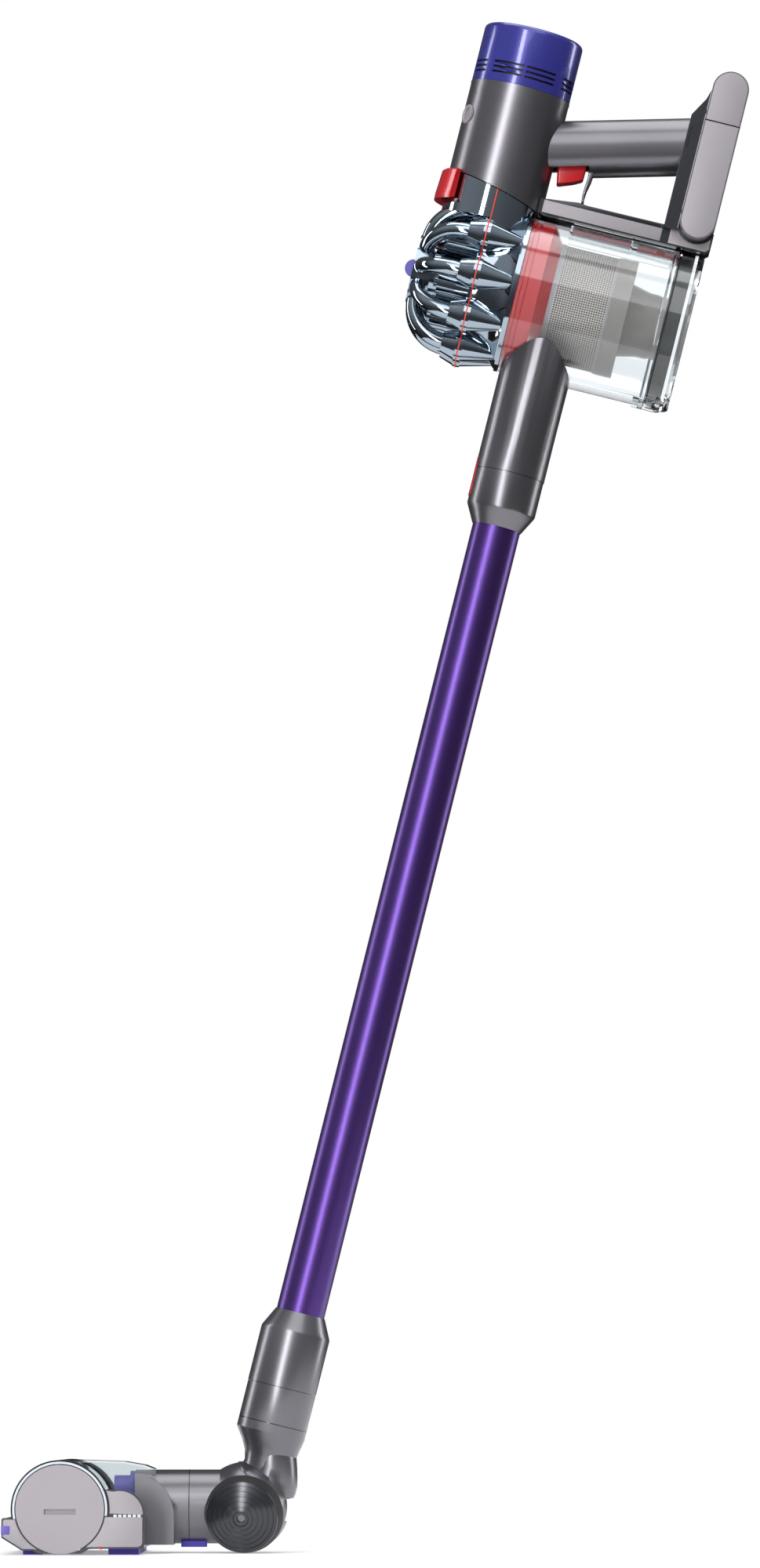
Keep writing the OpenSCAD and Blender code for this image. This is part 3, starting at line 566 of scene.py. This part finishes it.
class VACUUM_OT_neck(bpy.types.Operator):
    """The neck: a collar with its spigot, a cone and a smooth elbow that hugs the ball."""
    bl_idname = "vacuum.neck"
    bl_label = "Neck and Elbow"

    def execute(self, context):
        collar = lathe([(16.5, 64), (27.1, 66.0), (27.3, 66.4), (27.3, 102.6), (20.2, 102.6), (20.2, 138), (16.5, 138)])
        collar = piece_from(collar, "neck_collar", WAND, "nickel", "neck")
        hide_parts("neck_elbow")
        ball = Vector((-5.36, 0, 5.36)) * MM
        cone = loft([circle((0, 66.4), 27.25, 0), circle((0.5, 64), 26.4, 0), circle((2.3, 57), 23.2, 0),
                     circle((3.9, 49), 20.4, 0), circle((4.6, 42), 19.4, 0), circle((4.7, 36), 19.0, 0)])
        elbow = loft([circle((2.2, 64), 18.6, 8), circle((4.6, 56), 20.2, 10), circle((6.8, 48), 20.6, 10),
                      circle((8.8, 40), 20.5, 8), circle((10.4, 32), 20.2, 4), circle((11.0, 24), 19.8, -2),
                      circle((10.6, 16), 19.4, -8), circle((9.2, 8), 19.0, -14), circle((6.8, 0), 18.6, -20)])
        for bm, name in ((cone, "neck_cone"), (elbow, "neck_elbow_skin")):
            bmesh.ops.bisect_plane(bm, geom=bm.verts[:] + bm.edges[:] + bm.faces[:], plane_co=ball,
                                   plane_no=Vector((-24.4, 0, 54.8)).normalized(), clear_inner=True)
            bmesh.ops.holes_fill(bm, edges=[e for e in bm.edges if e.is_boundary], sides=0)
            for vert in bm.verts:
                away = vert.co - ball
                if away.length < 0.0357:
                    vert.co = ball + away.normalized() * 0.0357
            piece_from(bm, name, WAND, "nickel", "neck", 40)
        return {"FINISHED"}


class VACUUM_OT_head_trim(bpy.types.Operator):
    """Vents, bumper and lock dot of the cleaner head."""
    bl_idname = "vacuum.head_trim"
    bl_label = "Cleaner Head Trim"

    def execute(self, context):
        nose = [(-290.9, 13.8), (-290.9, 26.2), (-289.9, 27.1), (-281.4, 27.2)] + arc(-247, 35, 35.3, 192.8, 240, 12) + [
            (-264.4, 4.4), (-275.8, 4.4)]
        heel = arc(-247, 35, 35.3, 304, 350.3, 12) + [(-183.2, 28.9), (-183.2, 9.4), (-184.2, 7.2), (-186.4, 6.0)]
        hump = arc(-247, 35, 38.5, -5, 22, 8) + arc(-201, 31, 18.2, 104, 0, 20) + [(-182.8, 31.0)]
        bm = both_sides(nose, 125, 125.35, 0.3)
        for points in (heel, hump):
            for a, b in ((125, 125.35), (-125.35, -125)):
                plate(points, a, b, 0.3, 3, bm)
        piece_from(bm, "end_cheeks", FLOOR, "pale", "head")
        rim = arc(-247, 35, 37.85, -8, 192, 48)
        inner = arc(-247, 35, 36.7, 192, -8, 48)
        piece_from(both_sides(rim + inner, 125, 125.3, 0.1, 1), "end_rims", FLOOR, "black", "head")
        # A bright band inside the black rim: painted light shining through the window's edge.
        light = arc(-247, 35, 36.7, -8, 192, 48) + arc(-247, 35, 35.0, 192, -8, 48)
        piece_from(both_sides(light, 125, 125.2, 0.1, 1), "window_edge_painted_light", FLOOR, "rim", "head")
        bm = lathe([(0, 0.6), (33.4, 0.6), (34.2, 0.2), (34.2, -0.2), (0, -0.2)], closed=False, steps=96)
        piece_from(bm, "motor_end_disc", FLOOR @ Matrix.Translation((-0.247, 0.125, 0.035)) @ Matrix.Rotation(
            math.radians(-90), 4, "X"), "pale", "head")
        # Vent slots in the bluish white of the lit window edge: painted light.
        bm = bmesh.new()
        for x in range(6):
            left = -205.6 + 3.7 * x
            for a, b in ((125, 125.3), (-125.3, -125)):
                plate([(left, 28.9), (left + 2.6, 28.9), (left + 2.6, 31.0), (left, 31.0)], a, b, 0, 1, bm)
        piece_from(bm, "end_vents", FLOOR, "rim", "head")
        bm = lathe([(28.4, -149.75), (29.12, -149.75), (29.12, -149.25), (28.4, -149.25)], steps=96)
        piece_from(bm, "duct_seam", DUCT, "black", "yoke")
        bumper = [(-292.3, 15.6), (-285.6, 15.6), (-285.6, 22.2), (-292.3, 22.2)]
        piece_from(both_sides(bumper, 119.5, 125.7, 0.3), "end_bumpers", FLOOR, "violet", "head")
        facing = Matrix.Rotation(math.radians(90), 4, "X")
        dot = FLOOR @ Matrix.Translation((-0.2153, -0.1252, 0.0052)) @ facing
        piece_from(lathe([(0, 0.5), (0.9, 0.45), (1.2, 0.2), (1.2, -0.3), (0, -0.3)], closed=False, steps=24), "lock_dot",
                   dot, "red", "head")
        return {"FINISHED"}


class VACUUM_OT_brush_tufts(bpy.types.Operator):
    """Helical rows of stiff nylon tufts between softer carbon rows, rooted in the brush bar."""
    bl_idname = "vacuum.brush_tufts"
    bl_label = "Brush Tufts"

    def execute(self, context):
        bm = bmesh.new()
        length, rows, count = 232.0, 8, 46
        for row in range(rows):
            for i in range(count):
                z = -length / 2 + length * (i + 0.5) / count
                turn = math.radians(360 * row / rows + z * 1.26)
                stiff = row % 2 == 0
                place = (Matrix.Translation((0, 0, z * MM)) @ Matrix.Rotation(turn, 4, "Z")
                         @ Matrix.Translation((0.0273, 0, 0)) @ Matrix.Rotation(math.radians(90), 4, "Y"))
                made = bmesh.ops.create_cone(bm, cap_ends=True, segments=7, radius1=(1.5 if stiff else 2.3) * MM,
                                             radius2=(2.3 if stiff else 2.7) * MM, depth=0.0122, matrix=place)["verts"]
                for face in {f for v in made for f in v.link_faces}:
                    face.material_index = 0 if stiff else 1
        brush = piece_from(bm, "brush_tufts", BRUSH, "nylon carbon", "brush")
        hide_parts("brush_bristles")
        return {"FINISHED"}


# ---------- stage ----------

class VACUUM_OT_build_stage(bpy.types.Operator):
    """A pale floor, soft studio light and the camera."""
    bl_idname = "vacuum.build_stage"
    bl_label = "Stage, Lights and Camera"

    def execute(self, context):
        sizes = context.scene.stick_vacuum
        bm = bmesh.new()
        bmesh.ops.create_grid(bm, x_segments=1, y_segments=1, size=1.1)
        mesh = bpy.data.meshes.new("floor")
        bmesh.ops.translate(bm, vec=(0, 0, -0.0003), verts=bm.verts)
        bm.to_mesh(mesh)
        bm.free()
        floor = bpy.data.objects.new("floor", mesh)
        bpy.context.scene.collection.objects.link(floor)
        m, t, s = start("pale_floor", "#fbfbfb")
        s.inputs["Roughness"].default_value = 0.7
        s.inputs["Specular IOR Level"].default_value = 0.2
        s.inputs["Emission Color"].default_value = (1, 1, 1, 1)
        s.inputs["Emission Strength"].default_value = 0.3
        mesh.materials.append(m)

        world = bpy.data.worlds.new("studio")
        bpy.context.scene.world = world
        world.use_nodes = True
        tree = world.node_tree
        tree.nodes.clear()
        path = add(tree, "ShaderNodeLightPath")
        rays = [(0, path.outputs["Is Camera Ray"]), (1, path.outputs["Is Transmission Ray"])]
        seen = add(tree, "ShaderNodeMath", rays, operation="MAXIMUM")
        facing = add(tree, "ShaderNodeTexCoord")
        split = add(tree, "ShaderNodeSeparateXYZ", [("Vector", facing.outputs["Generated"])])
        depth = add(tree, "ShaderNodeMapRange", [("Value", split.outputs["Y"])], interpolation_type="SMOOTHSTEP",
                    From_Min=-0.35, From_Max=0.25, To_Min=0.7, To_Max=0.2)
        height = add(tree, "ShaderNodeMapRange", [("Value", split.outputs["Z"])], interpolation_type="SMOOTHSTEP",
                     From_Min=-0.3, From_Max=0.75, To_Min=0.25, To_Max=1.5)
        level = add(tree, "ShaderNodeMath", [(0, depth.outputs[0]), (1, height.outputs[0])], operation="MULTIPLY")
        strength = add(tree, "ShaderNodeMath", [(0, level.outputs[0])], operation="MULTIPLY")
        strength.inputs[1].default_value = sizes.room_light
        room = add(tree, "ShaderNodeBackground", [("Strength", strength.outputs[0])])
        room.inputs["Color"].default_value = linear("#dcdde2")
        backdrop = add(tree, "ShaderNodeBackground", Strength=1.0)
        backdrop.inputs["Color"].default_value = (1, 1, 1, 1)
        shares = [(0, seen.outputs[0]), (1, room.outputs[0]), (2, backdrop.outputs[0])]
        mixed = add(tree, "ShaderNodeMixShader", shares)
        add(tree, "ShaderNodeOutputWorld", [("Surface", mixed.outputs[0])])

        # name, place, aim, width, height, watts
        lamps = (
            ("key_strip", (-0.95, -3.3, 0.9), (-0.05, 0, 0.6), 0.5, 3.6, 80),
            ("rim_right", (2.9, 1.2, 1.0), (0.0, 0, 0.7), 0.5, 3.0, 30),
            ("rim_left", (-2.9, 0.9, 1.2), (0, 0, 0.7), 0.5, 3.0, 30),
            ("high_front", (0.3, -2.6, 3.1), (0.05, 0, 0.9), 3.2, 2.4, 44),
            ("top_soft", (0.2, 0.3, 3.4), (0, 0, 0.5), 2.4, 2.0, 40),
        )
        for name, place, aim, width, height, watts in lamps:
            data = bpy.data.lights.new(name, "AREA")
            data.shape = "RECTANGLE"
            data.size, data.size_y, data.energy = width, height, watts
            lamp = bpy.data.objects.new(name, data)
            lamp.location = place
            lamp.rotation_euler = (Vector(aim) - Vector(place)).to_track_quat("-Z", "Y").to_euler()
            lamp.visible_camera = False
            bpy.context.scene.collection.objects.link(lamp)

        data = bpy.data.cameras.new("camera")
        data.lens = sizes.lens
        camera = bpy.data.objects.new("camera", data)
        camera.location = (0, -6.5, 0.1)
        camera.rotation_euler = (Vector((0, 0, 0.606)) - camera.location).to_track_quat("-Z", "Y").to_euler()
        bpy.context.scene.collection.objects.link(camera)
        bpy.context.scene.camera = camera
        bpy.context.scene.view_settings.view_transform = "Standard"
        return {"FINISHED"}


# ---------- add-on ----------

class VACUUM_OT_finishes(bpy.types.Operator):
    """Makes every finish and puts it on the CAD nodes"""
    bl_idname = "vacuum.finishes"
    bl_label = "Finishes"

    def execute(self, context):
        make_materials(context.scene.stick_vacuum)
        dress_frame()
        return {"FINISHED"}


class VACUUM_PT_panel(bpy.types.Panel):
    """Sizes and steps of the vacuum cleaner"""
    bl_idname = "VACUUM_PT_panel"
    bl_label = "Stick Vacuum"
    bl_space_type = "VIEW_3D"
    bl_region_type = "UI"
    bl_category = "Stick Vacuum"

    def draw(self, context):
        column = self.layout.column(align=True)
        for name in StickVacuumSettings.__annotations__:
            column.prop(context.scene.stick_vacuum, name)
        column.separator()
        for step in STEPS:
            column.operator(step.bl_idname)


STEPS = (
    VACUUM_OT_finishes, VACUUM_OT_battery_cheeks, VACUUM_OT_bar_panels, VACUUM_OT_trigger_and_guard,
    VACUUM_OT_motor_trim, VACUUM_OT_bin_trim, VACUUM_OT_wand_trim, VACUUM_OT_neck, VACUUM_OT_head_trim,
    VACUUM_OT_brush_tufts,
    VACUUM_OT_build_stage)
CLASSES = (StickVacuumSettings,) + STEPS + (VACUUM_PT_panel,)


def register():
    for item in CLASSES:
        bpy.utils.register_class(item)
    bpy.types.Scene.stick_vacuum = bpy.props.PointerProperty(type=StickVacuumSettings)


def unregister():
    del bpy.types.Scene.stick_vacuum
    for item in reversed(CLASSES):
        bpy.utils.unregister_class(item)


def main():
    register()
    for step in STEPS:
        group, name = step.bl_idname.split(".")
        getattr(getattr(bpy.ops, group), name)()


if __name__ == "__main__":
    main()
